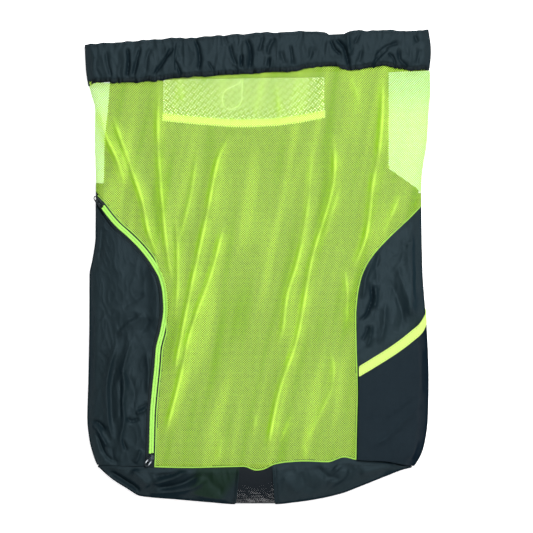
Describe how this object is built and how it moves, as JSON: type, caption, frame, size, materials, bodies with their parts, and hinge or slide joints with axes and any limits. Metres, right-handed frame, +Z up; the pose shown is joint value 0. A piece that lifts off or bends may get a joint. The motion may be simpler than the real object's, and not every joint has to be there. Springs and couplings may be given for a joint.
{
  "type": "mesh bag",
  "caption": "Empty lightweight carry bag lying flat: see-through mesh front, nylon sides with a curved zip and a bottle pocket, a gathered mouth band and a folded base with a drain panel.",
  "frame": {"origin": "middle of the underside, on the floor that the bag lies on", "axes": "+X to the right seen from the front, +Y from the base to the mouth, +Z up out of the front"},
  "size_m": [0.4158, 0.571, 0.0406],
  "materials": {
    "mesh": "knitted see-through mesh",
    "nylon": "crinkled light nylon",
    "pocket_nylon": "ripstop nylon",
    "pale_mesh": "fine pale mesh",
    "binding": "woven tape",
    "coil": "moulded coil",
    "drain_net": "open net",
    "cord": "elastic cord",
    "metal": "dark plated"
  },
  "bodies": {
    "bag": {"front_mesh": "mesh", "mouth_band": "nylon", "side_panel_left": "nylon", "side_panel_right": "nylon", "corner_panel_left": "pale_mesh", "corner_panel_right": "pale_mesh", "back_panel": "nylon", "window_mesh": "mesh", "window_binding": "binding", "bottle_pocket": "pocket_nylon", "pocket_binding": "binding", "zip_tape": "nylon", "zip_coil": "coil", "base_left": "nylon", "base_right": "nylon", "drain_panel": "drain_net", "hanging_loop": "cord", "zip_slider_top": "metal", "zip_slider_bottom": "metal"},
    "top_pull": {"zip_pull_top": "metal"},
    "bottom_pull": {"zip_pull_bottom": "metal"}
  },
  "joints": [
    {"name": "top_pull_swing", "type": "hinge", "parent": "bag", "child": "top_pull", "pos_m": [-0.18982, 0.07649, 0.02141], "axis": [0.7191, 0.6242, 0.3055], "range_deg": [0, 150]},
    {"name": "bottom_pull_swing", "type": "hinge", "parent": "bag", "child": "bottom_pull", "pos_m": [-0.12781, -0.22969, 0.03191], "axis": [-0.8074, 0.5894, 0.0265], "range_deg": [0, 150]}
  ]
}
